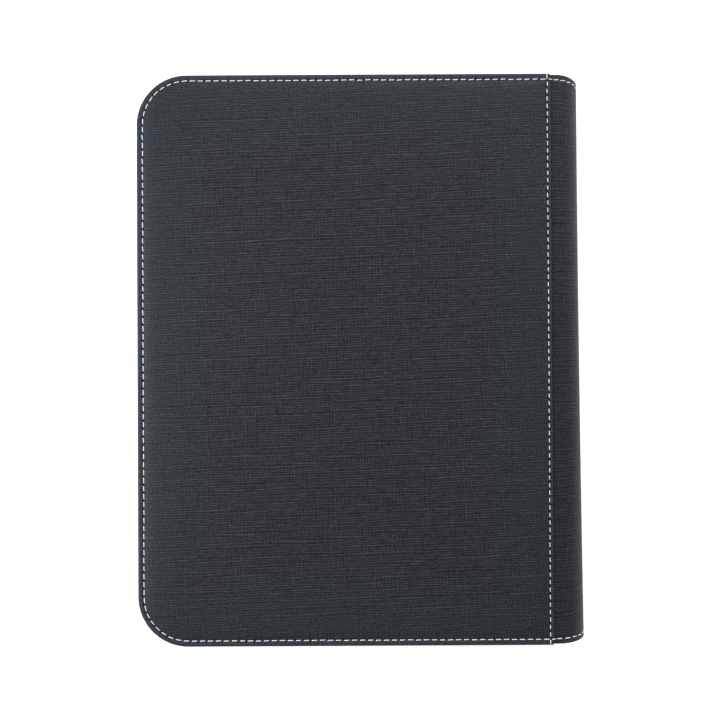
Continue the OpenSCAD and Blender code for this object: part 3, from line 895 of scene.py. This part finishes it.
def stitch(bm, place, length):
    """Adds one stitch to a row, a little out of true in turn, place and length."""
    start = len(bm.verts)
    bm.from_mesh(one_stitch)
    bm.verts.ensure_lookup_table()
    turn = Matrix.Rotation(STITCH_SLANT + draw.gauss(0, TURN_ERROR), 4, "Z")
    place = place @ Matrix.Translation((0, draw.gauss(0, SIDE_ERROR), 0)) @ turn
    place = place @ Matrix.Diagonal((length * (1 + draw.gauss(0, LENGTH_ERROR)), 1, 1, 1))
    for v in bm.verts[start:]:
        v.co = place @ v.co


for cover in COVERS:
    for row, name, length in ((EDGE_ROW, "edge", EDGE_STITCH), (SEAM_ROW, "seam", SEAM_STITCH)):
        bm = bmesh.new()
        for here, there in zip(row, row[1:]):
            spot = (here + there) / 2
            spot.z = panel_height(spot.x, spot.y)[0] + SINK
            heading = math.atan2(there.y - here.y, there.x - here.x)
            stitch(bm, Matrix.Translation(spot) @ Matrix.Rotation(heading, 4, "Z"), length)
        if name == "edge":
            fall = RIM_Z - MID_Z - SPINE_R
            slope = Matrix.Rotation(math.atan2(fall, FOLD_STITCH), 4, "Y")
            for side in (1, -1):
                spot = Vector((FOLD_X, side * HEM_Y, RIM_Z - fall / 2 + FOLD_LIFT))
                stitch(bm, Matrix.Translation(spot) @ slope, FOLD_STITCH)
        if cover == "front":
            to_front(bm)
        thread = make(f"{cover}_{name}_thread", bm, [thread_finish])
        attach(thread, f"{cover}_cover")
        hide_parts(f"{cover}_{name}_stitching")

for cover, half in HALVES:
    bm = bmesh.new()
    level = SPINE_R - GROOVE + SINK
    for side in (-1, 1):
        for k in range(HEM_STITCHES):
            along = HEM_START + (k + 0.5) * HEM_PITCH
            turn = max(along, 0) / SPINE_R
            spot = Vector((SPINE_X + min(along, 0), side * HEM_Y, MID_Z))
            spot += Vector((math.sin(turn), 0, math.cos(turn))) * level
            spot.x += bulge(spot.y) * math.sin(turn)
            spot.y = drawn_in(spot.y, turn)
            stitch(bm, Matrix.Translation(spot) @ Matrix.Rotation(turn, 4, "Y"), EDGE_STITCH)
    if cover == "front":
        to_front(bm)
    thread = make(f"spine_hem_thread_{half}", bm, [thread_finish])
    bend(thread, cover)
    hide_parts("spine_hem_stitching")
bpy.data.meshes.remove(one_stitch)


# Page binding: the stubs of all the leaves, black polypropylene like the leaves themselves.
# They are stacked and bonded into one ridge along the inside of the spine.
LEAVES = 20
first_low, first_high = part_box("page_01")
last_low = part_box(f"page_{LEAVES:02d}")[0]
LEAF_PITCH = (last_low.z - first_low.z) / (LEAVES - 1)

# polypropylene stubs: black and satin, with one fine line a leaf where the layers meet
stub_finish, tree = new_finish("stacked polypropylene stubs")
place = add(tree, "TexCoord").outputs["Object"]
height = add(tree, "SeparateXYZ", {"Vector": place})
layer = add(tree, "Math", {0: height.outputs["Z"], 1: LEAF_PITCH / 2}, operation="PINGPONG")
line = add(tree, "MapRange", {"Value": layer.outputs[0], "From Max": LEAF_PITCH / 6})
cloud = add(tree, "TexNoise", {"Vector": place, "Scale": 1 / (6 * MM), "Detail": 3})
tone = add(tree, "Math", {0: cloud.outputs["Fac"], 1: line.outputs[0]}, operation="MULTIPLY")
black = add(tree, "Mix", {0: tone.outputs[0], 6: linear("#0D0E10"), 7: linear("#37393D")},
            data_type="RGBA")
steps = add(tree, "Bump", {"Height": line.outputs[0], "Strength": 0.5, "Distance": 0.15 * MM})
shader = add(tree, "BsdfPrincipled", {
    "Base Color": black.outputs[2], "Roughness": 0.5, "IOR": 1.49, "Normal": steps.outputs[0]})
add(tree, "OutputMaterial", {"Surface": shader.outputs[0]})
dress("page_binding_block", stub_finish)


# Pocket leaves: a black polypropylene core with nine clear film pockets welded to each face.
# The pockets open towards the spine, where the edge of the film stands a little off the core.
COLUMNS, ROWS = 3, 3
CORE_T = 0.3 * MM
FILM_T = 0.05 * MM
FILM_IN = 6 * MM
FILM_END = 2 * MM
FILM_GAP = 1.0 * MM
FILM_SWELL, MOUTH = 0.2 * MM, 0.1 * MM
LEAF_CORNER = 4 * MM

# black polypropylene sheet: satin, with a fine sand emboss
core_finish, tree = new_finish("black polypropylene sheet")
place = add(tree, "TexCoord").outputs["Object"]
sand = add(tree, "TexNoise", {"Vector": place, "Scale": 1 / (0.45 * MM), "Detail": 3})
black = add(tree, "Mix", {0: sand.outputs["Fac"], 6: linear("#0F1012"), 7: linear("#232529")},
            data_type="RGBA")
emboss = add(tree, "Bump", {"Height": sand.outputs["Fac"], "Strength": 0.4, "Distance": 0.05 * MM})
shader = add(tree, "BsdfPrincipled", {
    "Base Color": black.outputs[2], "Roughness": 0.5, "IOR": 1.49, "Normal": emboss.outputs[0]})
add(tree, "OutputMaterial", {"Surface": shader.outputs[0]})

# clear polypropylene film: see-through, glossy, with slow ripples that break up its reflections
film_finish, tree = new_finish("clear polypropylene film")
place = add(tree, "TexCoord").outputs["Object"]
ripple = add(tree, "TexNoise", {"Vector": place, "Scale": 1 / (18 * MM), "Detail": 2})
slow = add(tree, "Bump", {"Height": ripple.outputs["Fac"], "Strength": 0.5, "Distance": 0.6 * MM})
gloss = add(tree, "MapRange", {"Value": ripple.outputs["Fac"], "To Min": 0.06, "To Max": 0.2})
shader = add(tree, "BsdfPrincipled", {
    "Base Color": linear("#EDEFF1"), "Roughness": gloss.outputs[0], "IOR": 1.49, "Transmission Weight": 1.0,
    "Normal": slow.outputs[0]})
add(tree, "OutputMaterial", {"Surface": shader.outputs[0]})

LEAF_W, LEAF_HALF = first_high.x - first_low.x - CORE_T / 2, first_high.y
POCKET_W = (LEAF_W - FILM_IN - FILM_END - (COLUMNS - 1) * FILM_GAP) / COLUMNS
POCKET_H = (2 * LEAF_HALF - 2 * FILM_GAP - (ROWS - 1) * FILM_GAP) / ROWS


def pocket(bm, x, y, face):
    """One film pocket: a shallow pillow, welded on three sides and open on the side of the spine."""
    made = set(bmesh.ops.create_grid(bm, x_segments=8, y_segments=10, size=0.5)["verts"])
    for v in made:
        u, w = 2 * v.co.x, 2 * v.co.y
        side = 1 - w ** 4
        lift = FILM_SWELL * (1 - u ** 4) * side + MOUTH * side * max(u, 0) ** 4 + FILM_T
        v.co = (x + v.co.x * POCKET_W, y + v.co.y * POCKET_H, CORE_T / 2 + lift)
    faces = [f for f in bm.faces if made.issuperset(f.verts)]
    shell = bmesh.ops.solidify(bm, geom=faces, thickness=FILM_T)["geom"]
    verts = {v for f in new_of(shell, bmesh.types.BMFace) + faces for v in f.verts}
    film = [f for f in bm.faces if verts.issuperset(f.verts)]
    for f in film:
        f.material_index = 1
    if face < 0:
        bmesh.ops.scale(bm, vec=(1, 1, -1), verts=list(verts))
        bmesh.ops.reverse_faces(bm, faces=film)


leaf = bmesh.new()
for face in (1, -1):
    for column in range(COLUMNS):
        for row in range(ROWS):
            x = -FILM_IN - (column + 0.5) * POCKET_W - column * FILM_GAP
            pocket(leaf, x, (row - (ROWS - 1) / 2) * (POCKET_H + FILM_GAP), face)
sole = cover_outline(leaf, -LEAF_W, CORE_T / 2, LEAF_HALF, LEAF_CORNER, -CORE_T / 2, 8)
sole.material_index = 0
raised(leaf, sole, CORE_T)
bmesh.ops.recalc_face_normals(leaf, faces=leaf.faces)

for number in range(1, LEAVES + 1):
    low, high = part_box(f"page_{number:02d}")
    bm = leaf.copy()
    bmesh.ops.translate(bm, vec=(high.x - CORE_T / 2, 0, (low.z + high.z) / 2), verts=bm.verts)
    sheet = make(f"pocket_leaf_{number:02d}", bm, [core_finish, film_finish])
    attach(sheet, f"page_{number:02d}")
    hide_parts(f"page_{number:02d}")
leaf.free()


# Studio: white acrylic as the floor, turned up far off as a backdrop, lit softly from three sides.
# The camera looks straight down on the rear cover from about 0.6 m, as in the photograph.
FLOOR_HALF = 12.0
BACKDROP_H = 2.2
FLOOR_Z = -0.2 * MM
DAYLIGHT = (0.94, 0.98, 1.0)
bpy.context.scene.view_settings.view_transform = "Standard"

# white acrylic: almost matt and faintly cloudy, lit from below to stay white
floor_finish, tree = new_finish("white acrylic floor")
place = add(tree, "TexCoord").outputs["Object"]
cloud = add(tree, "TexNoise", {"Vector": place, "Scale": 1 / 0.4, "Detail": 2})
white = add(tree, "Mix", {0: cloud.outputs["Fac"], 6: linear("#F4F4F4"), 7: linear("#FAFAFA")},
            data_type="RGBA")
shader = add(tree, "BsdfPrincipled", {
    "Base Color": white.outputs[2], "Roughness": 0.6, "Emission Color": linear("#FFFFFF"),
    "Emission Strength": 0.6})
add(tree, "OutputMaterial", {"Surface": shader.outputs[0]})
bm = bmesh.new()
bmesh.ops.create_grid(bm, x_segments=1, y_segments=1, size=FLOOR_HALF,
                      matrix=Matrix.Translation((0, 0, FLOOR_Z)))
drawn(bm, [e for e in bm.edges if e.is_boundary], (0, 0, BACKDROP_H))
floor = make("floor", bm, [floor_finish])

world = bpy.data.worlds.new("studio")
bpy.context.scene.world = world
world.use_nodes = True
world.node_tree.nodes.clear()
glow = add(world.node_tree, "Background", {"Color": linear("#FFFFFF"), "Strength": 0.28})
add(world.node_tree, "OutputWorld", {"Surface": glow.outputs[0]})

AIM = Vector((0, 0, MID_Z))
for name, spot, size, power in (("fore_softbox", (-0.8, -0.02, 0.45), (0.5, 1.1), 9.2),
                                ("spine_softbox", (0.85, 0.35, 0.55), (0.5, 1.1), 1.4),
                                ("head_softbox", (0.3, 0.95, 0.75), (1.2, 0.5), 9.2)):
    light = bpy.data.lights.new(name, "AREA")
    light.shape = "RECTANGLE"
    light.size, light.size_y = size
    light.energy = power
    light.color = DAYLIGHT
    lamp = bpy.data.objects.new(name, light)
    lamp.location = spot
    lamp.rotation_euler = (AIM - Vector(spot)).to_track_quat("-Z", "Y").to_euler()
    bpy.context.scene.collection.objects.link(lamp)

lens = bpy.data.cameras.new("camera")
lens.lens, lens.sensor_width = 50, 36
camera = bpy.data.objects.new("camera", lens)
camera.location = (-0.8 * MM, -4.4 * MM, 635 * MM)
camera.rotation_euler = (math.radians(0.4), 0, math.radians(-0.3))
bpy.context.scene.collection.objects.link(camera)
bpy.context.scene.camera = camera
